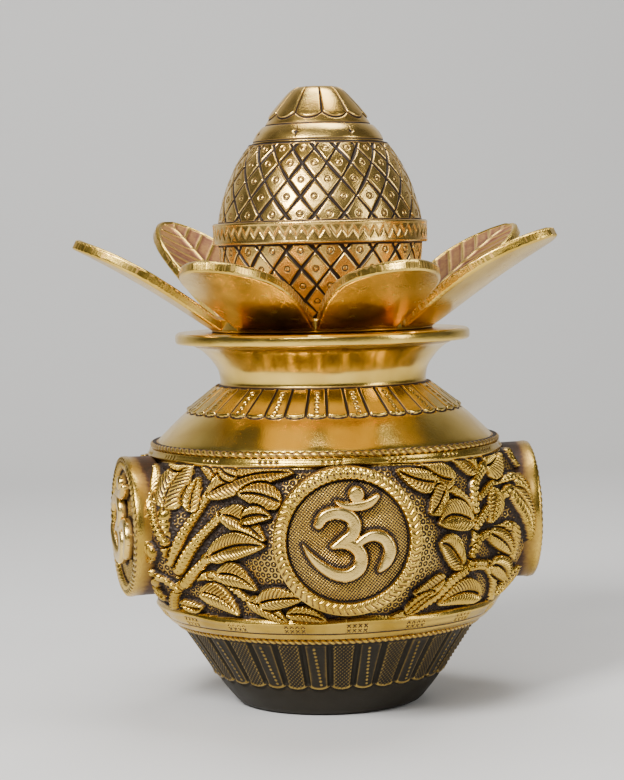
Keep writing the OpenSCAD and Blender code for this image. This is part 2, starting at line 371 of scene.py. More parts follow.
def rope(name, node, r, z, half_w, half_h, strands, lean, material):
    """A wire bead round the pot, cut on the slant all the way round."""
    cols, rows = 6 * strands, 14
    phi = np.linspace(0, TAU, rows, endpoint=False)[:, None]
    theta = np.linspace(0, TAU, cols, endpoint=False)[None, :]
    wave = np.cos(theta * strands + lean * np.sin(phi) * 2)
    h = 0.14 * wave * (np.cos(phi) > -0.3)
    rr = r + (half_w + h) * np.cos(phi)
    zz = z + (half_h + h) * np.sin(phi)
    points = np.stack([rr * np.sin(theta), -rr * np.cos(theta), zz + 0 * theta], -1).reshape(-1, 3)
    c = np.arange(cols)
    d = (c + 1) % cols
    last = (rows - 1) * cols
    closing = np.stack([last + c, c, d, last + d], -1)
    quads = np.vstack([grid_quads(rows, cols, True)[:, ::-1], closing])
    patina_and_shade = np.clip(0.28 - 1.6 * h + 0.7 * (np.abs(np.sin(phi)) > 0.8), 0, 1)
    return place(make_object(name, points, quads, patina_and_shade), "pot", [node], material)


rope("upper_rope", "upper_rope_ring", 70.6, BAND_TOP + 1.3, 1.7, 1.35, 132, 1.0, ANTIQUE)
rope("lower_rope", "lower_rope_ring", 62.2, BOWL_TOP - 1.1, 1.3, 1.1, 150, 1.2, ANTIQUE)

# ---- belly with its foliage ----

GROUP = 20              # degrees from one group of band punches to the next
PUNCH_PITCH = 2.4
RING_ROWS, RING_STEP = 2.3, 2.5     # spacing of the ground's ring punches, up and along
RING_WANDER = 0.25
BELLY_CELL = 0.31       # typical size of the belly grid's cells
FOLIAGE_LOW, FOLIAGE_HIGH = 44.5, 103.5
# A leaf: where it starts, where its tip is, its width and how far it bends to its left. A stem: its points
# and its width. Millimetres from the left medallion's middle, and above the foliage's lower edge.
LEFT_LEAVES = [
    ((32, 42), (38, 61.5), 13, 0.16), ((53, 54), (42, 61), 6.5, -0.1), ((48.5, 48.5), (87, 57), 10.5, 0.09),
    ((83, 46), (63, 49), 8, -0.08), ((55.5, 41), (78, 32.5), 9.5, 0.08), ((49, 24), (78, 30.5), 9.5, 0.07),
    ((53, 17.5), (72, 13), 8.5, 0.1), ((66, 7.5), (82, -0.5), 7.5, 0.05), ((43, 9.5), (61, 1.5), 9, 0.12),
    ((71, 7), (90, 10.5), 8, 0.08), ((82, 3.5), (98, -0.5), 6, 0.1), ((24, 46), (14, 58), 9, 0.1),
    ((26, 39), (9, 46), 8, -0.1), ((27, 22), (14, 36), 10, 0.12), ((24, 15), (9, 17), 8, 0.1),
    ((20, 6), (6, 8), 7, -0.1), ((66, 39.5), (80, 41), 6, 0.1), ((36, 60), (24, 61), 5, 0.1),
    ((30, 4), (42, 3), 5, -0.1), ((62, 55.5), (52, 60.5), 5, 0.1), ((42, 41), (43.5, 55), 6.5, 0.1),
]
LEFT_STEMS = [
    ([(20, -1), (29, 8), (39, 14.5), (51, 16.5)], 2.9), ([(37, 12), (33.5, 24), (32, 41)], 3.0),
    ([(34, 21), (40.5, 35), (48.5, 48.5)], 2.7), ([(36, 18), (45, 31), (55.5, 41)], 3.2),
    ([(36.5, 12.5), (43, 18.5), (49, 24)], 3.2), ([(50, 17), (58.5, 13), (66, 7.5), (72, 7)], 2.7),
    ([(33, 29), (28.5, 37), (24, 46)], 2.5), ([(32, 10), (28, 14), (24, 15)], 2.2),
    ([(56, 41.5), (61, 42), (66, 39.5)], 2.0),
]
RIGHT_LEAVES = [
    ((49, 51.5), (30, 61.5), 10.5, 0.1), ((64, 54), (48, 62), 8.5, -0.08), ((38, 51.5), (20, 57), 8.5, 0.08),
    ((43, 48.5), (30, 40), 8.5, 0.06), ((58, 34.5), (34, 36), 11, -0.12),
    ((51.5, 17.5), (34, 28.5), 10.5, -0.14),
    ((41, 14), (25, 10.5), 7.5, 0.08), ((67, 3.5), (40, 3), 9.5, -0.12), ((72, 55), (88, 60), 12, -0.1),
    ((90, 48.5), (98, 34), 9, 0.1), ((85, 44), (94, 22), 8.5, 0.1), ((82, 30), (86, 12), 8.5, -0.1),
    ((72, 15), (90, 6), 8, 0.12), ((70, 28), (84, 18), 7, 0.1), ((96, 12), (84, 1), 7, 0.1),
    ((76, 46), (70, 32), 7.5, 0.12), ((24, 2), (36, 9.5), 5, 0.1), ((98, 52), (110, 60), 7, 0.1),
]
RIGHT_STEMS = [
    ([(20, -0.5), (38, 6), (49, 13), (60, 16.5), (72, 14.5)], 3.6), ([(57, 16), (60, 27), (61, 40)], 3.0),
    ([(60, 38), (51.5, 46), (44.5, 49.5)], 3.2), ([(61, 39), (62.5, 49), (71.5, 55)], 3.6),
    ([(64, 43), (76, 47.5), (90, 48.5)], 2.4), ([(61, 32), (72, 39), (85, 44)], 3.0),
    ([(58, 21), (64, 27), (70, 28), (82, 30)], 2.8), ([(70, 14), (78, 8), (82, -0.5)], 3.0),
]
PANELS = [("front_right", "front", "right", RIGHT_LEAVES, RIGHT_STEMS),
          ("back_right", "right", "back", LEFT_LEAVES, LEFT_STEMS),
          ("back_left", "back", "left", RIGHT_LEAVES, RIGHT_STEMS),
          ("front_left", "left", "front", LEFT_LEAVES, LEFT_STEMS)]


def moat(h, edge):
    """Lowers what lies just outside an outline, where edge is the distance inside it."""
    out = np.clip(-edge, 0, 2)
    return np.where(edge < 0, np.minimum(h, h * smooth((out - 0.15) / 0.8)), h)


def draw_leaf(h, x, y, base, tip, width, bend, high=3.4):
    """Raises one leaf out of the ground: two swollen halves with cut veins beside a deep midrib."""
    d = np.subtract(tip, base)
    size = math.hypot(*d)
    ux, uy = d / size
    reach = size * (0.55 + abs(bend)) + width
    mid = np.add(base, tip) / 2
    cols = np.abs(x[0] - mid[0]) < reach
    rows = np.abs(y[:, 0] - mid[1]) < reach
    pick = np.ix_(rows, cols)
    dx, dy = x[pick] - base[0], y[pick] - base[1]
    s = (dx * ux + dy * uy) / size
    t = dy * ux - dx * uy - 4 * bend * size * s * (1 - s)
    c = np.clip(s, 0, 1)
    half = width / 2 * 2.5 * c**0.42 * (1 - c)**0.72 + 1e-6
    side = np.abs(t)
    edge = np.minimum(half - side, np.minimum(s, 1 - s) * size)
    f = np.clip(side / half, 0, 1)
    z = 1.5 + (high - 1.5) * np.sin(math.pi * np.clip(0.12 + 0.8 * f, 0, 1)) ** 0.8
    z -= (2.0 * bump(t / 0.45)) * smooth(s * 8) * smooth((1 - s) * 5)
    z += cuts(s * size - 0.75 * side, 1.7, 0.85) * smooth((side - 0.5) / 0.5) * smooth((edge - 0.3) / 0.5)
    z *= smooth(edge / 0.4 + 0.1)
    part = moat(h[pick], edge)
    h[pick] = np.where(edge > 0, np.maximum(z, 0.25 * part), part)


def draw_stem(h, x, y, points, width):
    """Raises one beaded stem, with a fine line down its middle and a knob at its end."""
    line = spline(points, 0.8)
    low, high = line.min(0) - 4, line.max(0) + 4
    pick = np.ix_((y[:, 0] > low[1]) & (y[:, 0] < high[1]), (x[0] > low[0]) & (x[0] < high[0]))
    px, py = x[pick], y[pick]
    best = np.full(px.shape, 99.0)
    at = np.zeros(px.shape)
    run = length_along(line)
    for i in range(len(line) - 1):
        a, d = line[i], line[i + 1] - line[i]
        k = np.clip(((px - a[0]) * d[0] + (py - a[1]) * d[1]) / (d @ d), 0, 1)
        ex, ey = px - a[0] - k * d[0], py - a[1] - k * d[1]
        dist = np.hypot(ex, ey)
        near = dist < best
        best = np.where(near, dist, best)
        at = np.where(near, run[i] + k * np.linalg.norm(d), at)
    knob = bump((run[-1] - at - 1.2) / 1.3)
    half = 0.65 * width * (1 + 0.25 * knob)
    edge = half - best
    f = np.clip(best / half, 0, 1)
    z = 2.9 * np.sqrt(1 - f**2 * 0.85) + 0.3 * knob
    beads = np.cos(TAU * at / 2.1) * bump((f - 0.6) / 0.4)
    z += (0.4 * beads - 0.35 * bump(f / 0.16)) * (1 - knob)
    z *= smooth(edge / 0.35 + 0.15)
    part = moat(h[pick], edge)
    h[pick] = np.where(edge > 0, np.maximum(z, part * 0.4), part)


def ring_ground(h, x, y, low, high):
    """Small ring punches packed over the bare ground."""
    cell_x, cell_y = x[0, 1] - x[0, 0], y[1, 0] - y[0, 0]
    reach = int(1.3 / min(abs(cell_x), abs(cell_y))) + 1
    marks = np.zeros_like(h)
    for j, py in enumerate(np.arange(low, high, RING_ROWS)):
        for px in np.arange(x[0, 0] + (j % 2) * RING_STEP / 2, x[0, -1], RING_STEP):
            cx = px + rng.uniform(-RING_WANDER, RING_WANDER)
            cy = py + rng.uniform(-RING_WANDER, RING_WANDER)
            i, k = int(np.searchsorted(y[:, 0], cy)), int(np.searchsorted(x[0], cx))
            w = np.s_[max(i - reach, 0):i + reach, max(k - reach, 0):k + reach]
            d = np.hypot(x[w] - cx, y[w] - cy)
            ring = ring_mark(d, 0.75)
            marks[w] = np.where(np.abs(ring) > np.abs(marks[w]), ring, marks[w])
    return marks


def punched_bands(theta, z, low, high):
    """The bands below and above the foliage: ridges, a groove, two rows of crosses and a row of dots."""
    band = 0.5 * bump((z - low + 1.4) / 0.9) + 0.35 * bump((z - high - 1.2) / 0.8)
    band += 0.6 * bump((z - BOWL_TOP - 0.9) / 0.7) - 0.5 * bump((z - BOWL_TOP - 2.4) / 0.4)
    run = theta % GROUP * math.radians(BELLY_R)
    across = run % PUNCH_PITCH - PUNCH_PITCH / 2
    up = np.abs(z - BOWL_TOP - 4.9) - 1.1
    crosses = np.minimum(np.abs(across + up), np.abs(across - up)) / 0.42
    band -= 0.5 * bump(crosses) * smooth((1.25 - np.hypot(across, up)) / 0.3) * (run < 4 * PUNCH_PITCH)
    run = (run + 9) % math.radians(BELLY_R * GROUP)
    dots = np.hypot(run % PUNCH_PITCH - PUNCH_PITCH / 2, z - FOLIAGE_HIGH - 2.1) / 0.6
    return band - 0.4 * bump(dots) * (run < 4 * PUNCH_PITCH) * (z > FOLIAGE_HIGH)


def swell_at_medals(theta, z):
    """How far the ground swells out beside the medallions at the panel's two ends."""
    out = np.minimum(np.radians(theta - theta[0, 0]), np.radians(theta[0, -1] - theta))
    right = BELLY_R * np.sin(np.clip(out, 0, math.pi / 2))
    reach = np.hypot(right, z - MEDAL_Z)
    swell = 10.5 * np.square(right / (reach + 1e-6)) * (1 - smooth((reach - MEDAL_R + 3) / 22))
    return swell * smooth((reach - 10) / 14)


def belly_relief_for(leaves, stems, width):
    """The relief of one panel between two medallions, width millimetres long."""
    def relief(theta, s, z):
        turn = (theta - theta[0, 0]) / (theta[0, -1] - theta[0, 0])
        x = turn * width
        y = z - FOLIAGE_LOW
        h = np.zeros_like(x)
        for points, w in stems:
            draw_stem(h, x, y, points, w)
        for base, tip, w, bend in leaves:
            draw_leaf(h, x, y, base, tip, w, bend)
        bare = 1 - smooth(h / 0.5)
        h += 1.2 * bare * ring_ground(h, x, y, 0.5, FOLIAGE_HIGH - FOLIAGE_LOW)
        wave = 0.5 * np.sin(np.radians(theta) * 5 + 1) + 0.3 * np.sin(np.radians(theta) * 11)
        low, high = FOLIAGE_LOW - 0.6 + wave, FOLIAGE_HIGH + 0.4 * wave
        inside = smooth((z - low) / 0.6) * smooth((high - z) / 0.6)
        h = -2.2 + h
        swell = swell_at_medals(theta, z)
        h = (h + swell) * inside + punched_bands(theta, z, low, high) * (1 - inside)
        h -= 0.5 * bump((z - low) / 0.5) + 0.5 * bump((z - high) / 0.5)
        h += 0.06 * wander(h.shape, BELLY_CELL, 2.5, False) * smooth(30 * np.minimum(turn, 1 - turn))
        dark = grime(h - swell * inside, BELLY_CELL, False, 2.6, 0.6) + 0.5 * inside * bare + 0.07 * inside
        return h, np.clip(dark, 0, 1)
    return relief


belly_side = spline([(63.6, BOWL_TOP), (68, 38), (71.2, 43), (BELLY_R, 60), (BELLY_R, 86), (73.6, 102),
                     (72.4, BAND_TOP)])
belly_wall = spline([(66.4, BAND_TOP), (70.2, 102), (72.1, 88), (72.1, 58), (67.2, 41), (58.6, BOWL_TOP)])
belly_outer = even(belly_side, 256)
belly_inner = even(belly_wall, 12)
for side, first, last, leaves, stems in PANELS:
    a, b = MEDALS[first], MEDALS[last]
    b = b if b > a else b + 360
    relief = belly_relief_for(leaves, stems, math.radians(b - a) * BELLY_R)
    piece = turned("foliage_" + side, belly_outer, belly_inner, 386, relief, (a, b))
    place(piece, "pot", ["belly_band"], ANTIQUE)

# ---- shoulder ----

SHOULDER_TONGUES = 42
TONGUE_LEN = 16.4
TONGUE_RINGS, RING_PITCH = 5, 2.9
NECK_FOOT_R = 44


def shoulder_relief(theta, s, z):
    """A ring of round-ended tongues under the neck, by turns ringed and hatched."""
    pitch = 360 / SHOULDER_TONGUES
    k = np.round(theta / pitch)
    full = s[-1, 0]
    down = full - s
    r_here = np.interp(down, [0, 18], [NECK_FOOT_R, 58.5])
    half = math.pi * r_here / SHOULDER_TONGUES
    x = np.radians(theta - k * pitch) * r_here
    tip = TONGUE_LEN - 1.7 * (1 - np.sqrt(np.clip(1 - np.square(x / half), 0, 1)))
    inside = np.minimum(half - 0.35 - np.abs(x), tip - down)
    h = 0.75 * smooth(inside / 0.5) - 0.45 * bump((inside + 0.25) / 0.3)
    h += 0.25 * bump((tip - down - 1.0) / 0.5) * (inside > 0)
    odd = (k % 2) == 1
    row = np.clip(np.round((down - 3) / RING_PITCH), 0, TONGUE_RINGS - 1)
    rings = 1.5 * ring_mark(np.hypot(x, down - 3 - row * RING_PITCH), 0.85)
    hatch = cuts(x + down * 0.75, 1.0, 0.1) + cuts(x - down * 0.75, 1.0, 0.1)
    h += smooth((inside - 0.5) / 0.4) * np.where(odd, rings, hatch)
    h += 0.05 * wander(h.shape, CELL, 5)
    dark = grime(h, CELL, True, 2.0, 0.2) + 0.8 * bump((inside + 0.25) / 0.3)
    dark += 0.9 * smooth((1.2 - down) / 1.2) + 0.5 * bump(s / 0.8)
    return h, np.clip(dark - 0.06, 0, 1)


shoulder_side = spline([(69.4, BAND_TOP + 0.6), (69.2, ROPE_TOP), (66, 113), (57.6, 120.8),
                        (NECK_FOOT_R, NECK_FOOT)])
shoulder_outer = even(shoulder_side, 104)
shoulder_inner = even([(NECK_FOOT_R - 4, NECK_FOOT), (55.5, 118.8), (63.8, 111), (66.4, BAND_TOP + 0.6)], 10)
place(turned("shoulder_relief", shoulder_outer, shoulder_inner, 20 * SHOULDER_TONGUES, shoulder_relief),
      "pot", ["shoulder"], POLISHED)


# ---- neck ----

FLANGE_T = 4.6
SEAT_R = 41             # the bored seat in the mouth


def neck_relief(theta, s, z):
    """Turned metal with slight hand unevenness, patina at the foot and a darker band just under the flange.
    """
    h = 0.07 * wander(theta.shape, 1.2, 9) + 0.03 * wander(theta.shape, 1.2, 2.5)
    dark = 0.9 * bump((z - NECK_FOOT) / 1.1) + 0.35 * bump((z - POT_H + 5.2) / 0.9) * (s < 24)
    return h, np.clip(dark, 0, 1)


under = POT_H - FLANGE_T
neck_flare = spline([(43.3, NECK_FOOT), (42.7, 134), (44.1, 139.5), (49.4, 146), (54.5, under - 0.6),
                     (57.4, under)])
flange_edge = spline([(FLANGE_R - 1, under), (FLANGE_R - 0.15, under + 0.7), (FLANGE_R - 0.1, POT_H - 1.1),
                      (FLANGE_R - 1.2, POT_H)])
flange_top = [(FLANGE_R - 5, POT_H), (46, POT_H), (41.6, POT_H)]
neck_outer = even(np.vstack([neck_flare, flange_edge, flange_top]), 110)
neck_inner = even([(SEAT_R, POT_H - 0.6), (SEAT_R, POT_H - 12.5), (39.6, 139.5), (39.2, 134),
                   (39.7, NECK_FOOT)], 14)
place(turned("neck_turned", neck_outer, neck_inner, 300, neck_relief),
      "pot", ["neck"], POLISHED)


# ---- medallions ----

def facing(points, turn):
    """Points (right, up, out) of a medallion's own frame, turned to its place on the belly."""
    a = math.radians(turn)
    right, up, out = points[:, 0], points[:, 1], points[:, 2]
    x = right * math.cos(a) + out * math.sin(a)
    y = right * math.sin(a) - out * math.cos(a)
    return np.stack([x, y, up + MEDAL_Z], 1)


RING_W = 5.2
DISC_R = MEDAL_R - RING_W
MEDAL_CELL = 0.3        # typical size of the medallion grid's cells
BACK_R = 73.8           # the radius that a medallion's back is curved to
SPOKES = 480


def medallion(side, turn):
    """A stippled disc inside a rounded ring of chevrons and crossed cuts, its back curved to the belly."""
    rho = np.r_[np.linspace(0.4, DISC_R, 84), np.linspace(DISC_R, MEDAL_R, 26)[1:]]
    phi = np.linspace(0, TAU, SPOKES, endpoint=False)[None, :]
    q = rho[:, None] + 0 * phi
    x, y = q * np.cos(phi), q * np.sin(phi)
    t = (q - DISC_R) / RING_W
    ring = smooth((q - MEDAL_R + RING_W) / 0.5)
    pricks = stipple(x + 0.12 * y, y - 0.08 * x, 1.35, 0.3) * smooth((q - 1) / 1)
    disc = -0.7 + 0.9 * (1 - np.square(q / 24)) + pricks
    around = phi * (MEDAL_R - RING_W / 2) + 0 * q
    chevron = cuts(around - 1.7 * np.abs(t - 0.5) * 2, 2.6, 0.6)
    crossed = cuts(around + 2.6 * t, 2.6, 0.42) + cuts(around - 2.6 * t, 2.6, 0.42)
    top = smooth((np.cos(phi - 1.9) - 0.72) / 0.08) + 0 * q
    hoop = MEDAL_OUT - FACE + 0.15 - 0.9 * np.square(2 * np.clip(t, 0, 1) - 1) ** 1.5
    hoop += (chevron * (1 - top) + crossed * top) * smooth((0.5 - np.abs(t - 0.5)) / 0.12)
    h = disc * (1 - ring) + hoop * ring
    h -= 0.7 * bump((q - MEDAL_R + RING_W - 0.1) / 0.4)
    h += 0.05 * wander(h.shape, MEDAL_CELL, 2)
    near = stroke_distance(x, y, SIGN_STROKES + CRESCENT_STROKES, (DOT,))
    dark = (0.42 - 1.3 * pricks + 0.9 * bump((near + 0.5) / 0.7) + 0.5 * bump((q - 23.2) / 0.8)) * (1 - ring)
    patina_and_shade = np.clip(grime(h, MEDAL_CELL, True, 2.1, 0.35) + dark, 0, 1)

    def behind(r):
        return np.sqrt(np.square(BACK_R) - np.square(r * np.cos(phi)))

    walls = []
    for k in np.linspace(0.06, 1, 16):
        r = MEDAL_R + 0.25 * math.sin(math.pi * min(k * 4, 1)) - 0.25 * k
        walls.append((r + 0 * phi, (FACE + h[-1:]) * (1 - k) + behind(r) * k))
    for r in (20, 10, 0.4):
        walls.append((r + 0 * phi, behind(r)))
    q = np.vstack([q] + [w[0] for w in walls])
    out = np.vstack([FACE + h] + [w[1] for w in walls])
    points = np.stack([(q * np.cos(phi)).ravel(), (q * np.sin(phi)).ravel(), out.ravel()], 1)
    # Painted shade: the medallion's side walls darken from the rim back towards the belly, where shade falls
    # under the raised medallion.
    painted_wall_shade = [np.full((1, SPOKES), 0.16 + 0.4 * min(i / 7, 1)) for i in range(len(walls))]
    patina_and_shade = np.vstack([patina_and_shade] + painted_wall_shade)
    rows = len(q)
    quads = grid_quads(rows, SPOKES, True)[:, ::-1]
    extra = [np.arange(SPOKES), (rows - 1) * SPOKES + np.arange(SPOKES)[::-1]]
    piece = make_object("medallion_" + side + "_relief", facing(points, turn), quads, patina_and_shade, extra)
    place(piece, "pot", ["medallion_" + side], ANTIQUE)


# The sign's strokes: points with the stroke's width at each, in millimetres from the medallion's middle.
SIGN_STROKES = [
    [(-11.4, 6.8, 3.6), (-9.4, 9.8, 4.6), (-5.4, 11.2, 5.0), (-0.8, 10.4, 5.2), (2.2, 7.4, 5.2),
     (1.6, 3.2, 5.0), (-2, 0.2, 4.6), (-6, -1.6, 2.4)],
    [(-2.6, -0.4, 4.2), (1.6, -1.6, 5.0), (4.4, -5.2, 5.4), (3.6, -10, 5.4), (-0.6, -12.6, 5.2),
     (-5.6, -12, 4.8), (-11, -8.6, 4.0), (-15, -4.4, 2.6), (-17.4, -0.6, 0.6)],
    [(1.8, -2.2, 3.0), (5.6, 0.8, 3.8), (9.8, 2.2, 4.6), (13.8, 0.6, 5.0), (15.6, -3.6, 5.0),
     (14, -8.2, 4.2), (11.6, -11, 2.2)],
]
CRESCENT_STROKES = [[(-4.4, 15.2, 1.6), (-0.8, 13.8, 3.2), (4, 13.6, 4.2), (8, 14.6, 4.0), (11, 17, 2.6)]]
DOT = (3.2, 18, 3.2)        # its middle and its radius


def stroke_distance(x, y, strokes, dots=()):
    """Distance inside the strokes' common outline, negative outside."""
    inside = np.full(x.shape, -99.0)
    for stroke in strokes:
        line = spline(stroke, 0.6)
        for a, b in zip(line, line[1:]):
            d = b[:2] - a[:2]
            k = np.clip(((x - a[0]) * d[0] + (y - a[1]) * d[1]) / (d @ d + 1e-9), 0, 1)
            dist = np.hypot(x - a[0] - k * d[0], y - a[1] - k * d[1])
            inside = np.maximum(inside, (a[2] + k * (b[2] - a[2])) / 2 - dist)
    for cx, cy, r in dots:
        inside = np.maximum(inside, r - np.hypot(x - cx, y - cy))
    return inside


def raised_sign(name, node, strokes, dots, turn):
    """A solid with the strokes' outline, upright sides and a softly rounded top."""
    step = 0.26
    half = 24
    side = np.arange(-half, half + step, step)
    x, y = np.meshgrid(side, side)
    d = stroke_distance(x, y, strokes, dots)
    gy, gx = np.gradient(d, step)
    norm = np.hypot(gx, gy) + 1e-6
    keep = d > -0.7 * step
    shift = np.where(np.abs(d) < 0.7 * step, -d / norm, 0)
    x, y = x + shift * gx / norm, y + shift * gy / norm
    d = np.maximum(np.where(shift != 0, 0, d), 0)
    cell = keep[:-1, :-1] & keep[1:, :-1] & keep[:-1, 1:] & keep[1:, 1:]
    used = np.zeros_like(keep)
    for di in (0, 1):
        for dj in (0, 1):
            used[di:used.shape[0] - 1 + di, dj:used.shape[1] - 1 + dj] |= cell
    index = -np.ones(keep.shape, int)
    index[used] = np.arange(used.sum())
    i, j = np.nonzero(cell)
    quads = np.stack([index[i, j], index[i, j + 1], index[i + 1, j + 1], index[i + 1, j]], 1)
    count = used.sum()
    top = FACE + (SIGN_OUT - FACE) * (0.62 + 0.38 * np.sqrt(1 - np.square(1 - np.clip(d / 1.5, 0, 1))))
    top = top[used] + 0.12 * wander(keep.shape, step, 1.6, False)[used]
    flat = np.stack([x[used], y[used]], 1)
    foot = np.c_[flat * 1.004, np.full(count, FACE - 1.4)]
    upper = np.c_[flat, top]
    edges = {}
    for quad in quads:
        for a, b in zip(quad, np.roll(quad, -1)):
            if (b, a) in edges:
                del edges[(b, a)]
            else:
                edges[(a, b)] = True
    wall = np.array([(b, a, a + count, b + count) for a, b in edges])
    faces = np.vstack([quads, quads[:, ::-1] + count, wall])
    rim = d[used]
    patina_and_shade = np.r_[0.1 * (rim < 0.3), np.full(count, 0.95)]
    piece = make_object(name, facing(np.vstack([upper, foot]), turn), faces, patina_and_shade)
    place(piece, "pot", [node], SIGN)


for side, turn in MEDALS.items():
    medallion(side, turn)
    raised_sign(f"om_{side}_relief", f"om_{side}", SIGN_STROKES, (), turn)
    raised_sign(f"crescent_{side}_relief", f"crescent_{side}", CRESCENT_STROKES, (DOT,), turn)

# ---- crown of leaves ----

LEAF_COUNT = 7
LEAF_START = 13         # the first leaf's turn
LEAF_RISE = 32          # the slope of a leaf at the sides
LEAF_SWING = 9          # how much lower the front leaves lie and how much higher the back ones stand
LEAF_BEND = 10          # how much a leaf's slope eases from root to tip
LEAF_LEN = 65
# How far hand work left each leaf from an even spacing and from the slope of its neighbours
LEAF_NUDGES = [0, -4, 0, 0, 2, 0, 8]
LEAF_LIFTS = [-2, 5, 0, 0, 2, 0, -2]
LEAF_HALF = 20.5        # half its greatest width
LEAF_WIDEST = 0.45      # where that is, as a part of its length
LEAF_T = 4.6
LEAF_CUP = 2.2          # how far its two sides curl up
LEAF_ROOT_Z = 3.3       # middle of the root above the flange
VEIN_PITCH = 8.5
CUP_R = 46


def leaf_width(s):
    """Half the width of a leaf, where s goes from 0 at the root to 1 at the tip."""
    root = 1 - 0.18 * np.square(1 - np.clip(s / LEAF_WIDEST, 0, 1))
    tip = np.clip(1 - np.power(np.clip((s - LEAF_WIDEST) / 0.56, 0, 1), 2.2), 0, 1)
    return LEAF_HALF * np.where(s < LEAF_WIDEST, root, np.power(tip, 0.62))


def crown_leaf(i):
    """A thick cast leaf: veined inside, smooth outside, with a flat filed edge."""
    turn = math.radians(LEAF_START + i * 360 / LEAF_COUNT + LEAF_NUDGES[i])
    rise = LEAF_RISE + LEAF_LIFTS[i] - LEAF_SWING * math.cos(turn)
    n_s, n_t = 150, 76
    s = 1 - np.power(1 - np.linspace(0, 1, n_s), 1.5)
    t = np.linspace(-1, 1, n_t)
    t = np.sin(t * math.pi / 2) * 0.35 + t * 0.65
    S, T = np.meshgrid(s, t, indexing="ij")
    w = leaf_width(S)
    along, across = S * LEAF_LEN, T * w
    rim = np.vstack([np.c_[s * LEAF_LEN, leaf_width(s)], np.c_[s * LEAF_LEN, -leaf_width(s)][::-1]])
    rim = even(rim, 320)
    edge = np.min(np.hypot(along[..., None] - rim[:, 0], across[..., None] - rim[:, 1]), axis=-1)
    a0 = math.radians(rise + LEAF_BEND * 0.5)
    a1 = np.radians(rise + LEAF_BEND * (0.5 - S))
    k = LEAF_LEN / math.radians(LEAF_BEND)
    free = 1 - np.power(1 - S, 8)
    slope = free * a1
    back = (1 - free) * (CUP_R - np.sqrt(np.square(CUP_R) - np.square(across)))
    line_r = CUP_R + 0.1 + k * (math.sin(a0) - np.sin(a1)) - back
    line_z = POT_H + LEAF_ROOT_Z + k * (np.cos(a1) - math.cos(a0))
    cup = free * LEAF_CUP * np.square(across / LEAF_HALF)
    soft = 1.1 * (1 - np.sqrt(1 - np.square(1 - np.clip(edge / 1.1, 0, 1)))) * smooth(S * 30)
    midrib = 0.9 * bump(across / 1.1) * smooth((S - 0.05) * 8) * smooth((0.97 - S) * 9)
    lean = along - 0.9 * np.abs(across)
    lines = np.power(np.abs(np.cos(math.pi * lean / VEIN_PITCH)), 14)
    veins = 0.55 * lines * smooth((edge - 1.6) / 1.5) * smooth(np.abs(across) / 2)
    border = 0.5 * bump((edge - 1.3) / 0.8)
    inner = LEAF_T / 2 - soft + (midrib + veins + border - 0.5) * smooth(S * 20)
    inner += 0.1 * wander(S.shape, 0.5, 3, False)
    outer = -(LEAF_T / 2 - soft) + 0.04 * wander(S.shape, 0.5, 9, False)

    def lift(up):
        r = line_r - up * np.sin(slope)
        z = line_z + up * np.cos(slope)
        return np.stack([across, -r, z], -1).reshape(-1, 3)

    grid = np.arange(n_s * n_t).reshape(n_s, n_t)
    loop = np.concatenate([grid[0, :], grid[1:, -1], grid[-1, :-1][::-1], grid[1:-1, 0][::-1]])
    top, bottom = lift(cup + inner), lift(cup + outer)
    levels = 5
    rows = [top[loop] * (1 - f) + bottom[loop] * f for f in np.linspace(0, 1, levels + 2)[1:-1]]
    count = n_s * n_t
    ids = [loop] + [2 * count + len(loop) * m + np.arange(len(loop)) for m in range(levels)] + [loop + count]
    wall = [np.stack([a, b, np.roll(b, -1), np.roll(a, -1)], 1) for a, b in zip(ids, ids[1:])]
    face = grid_quads(n_s, n_t, False)
    quads = np.vstack([face[:, ::-1], face + count] + [w[:, ::-1] for w in wall])
    dark = grime(inner, 0.6, False, 0.9, 0.5) + 0.42 * smooth((edge - 1) / 2)
    filed = np.tile(0.04 + 0.13 * np.abs(rng.standard_normal(len(loop))), levels)
    patina_and_shade = np.r_[np.clip(dark, 0, 1).ravel(), np.zeros(count), filed]
    root = (1 - free).ravel()
    patina_and_shade += 0.5 * np.r_[root, root, np.zeros(len(loop) * levels)] ** 4
    points = np.vstack([top, bottom] + rows)
    x, y = points[:, 0].copy(), points[:, 1].copy()
    points[:, 0] = x * math.cos(turn) - y * math.sin(turn)
    points[:, 1] = x * math.sin(turn) + y * math.cos(turn)
    piece = make_object(f"leaf_{i + 1}_cast", points, quads, patina_and_shade)
    place(piece, "lid", [f"leaf_{i + 1}"], LEAF)


for i in range(LEAF_COUNT):
    crown_leaf(i)

BORE_R = 3.06       # the stud's hole

cup_side = spline([(45.5, POT_H + 0.13), (CUP_R, POT_H + 1), (CUP_R, POT_H + 5.7)])
cup_outer = even(np.vstack([[(BORE_R, POT_H), (44.8, POT_H)], cup_side]), 70)
cup_inner = even([(45, POT_H + 6), (42, COCONUT_FOOT), (BORE_R, COCONUT_FOOT)], 12)


def cup_relief(theta, s, z):
    """Turned metal with patina where the cup meets the flange."""
    return 0.02 * wander(theta.shape, 1, 5), np.clip(0.1 + 0.5 * bump((z - POT_H) / 0.8), 0, 1)


place(turned("crown_cup_turned", cup_outer, cup_inner, 240, cup_relief),
      "lid", ["crown_cup"], POLISHED)

# ---- coconut ----

LATTICE = 22            # crossings round the coconut
LATTICE_RISE = 14.5     # length along the side from one crossing to the next above it
COCONUT_R = 42.2
COCONUT_BORE = 39.7
BELT_HALF = 4.5


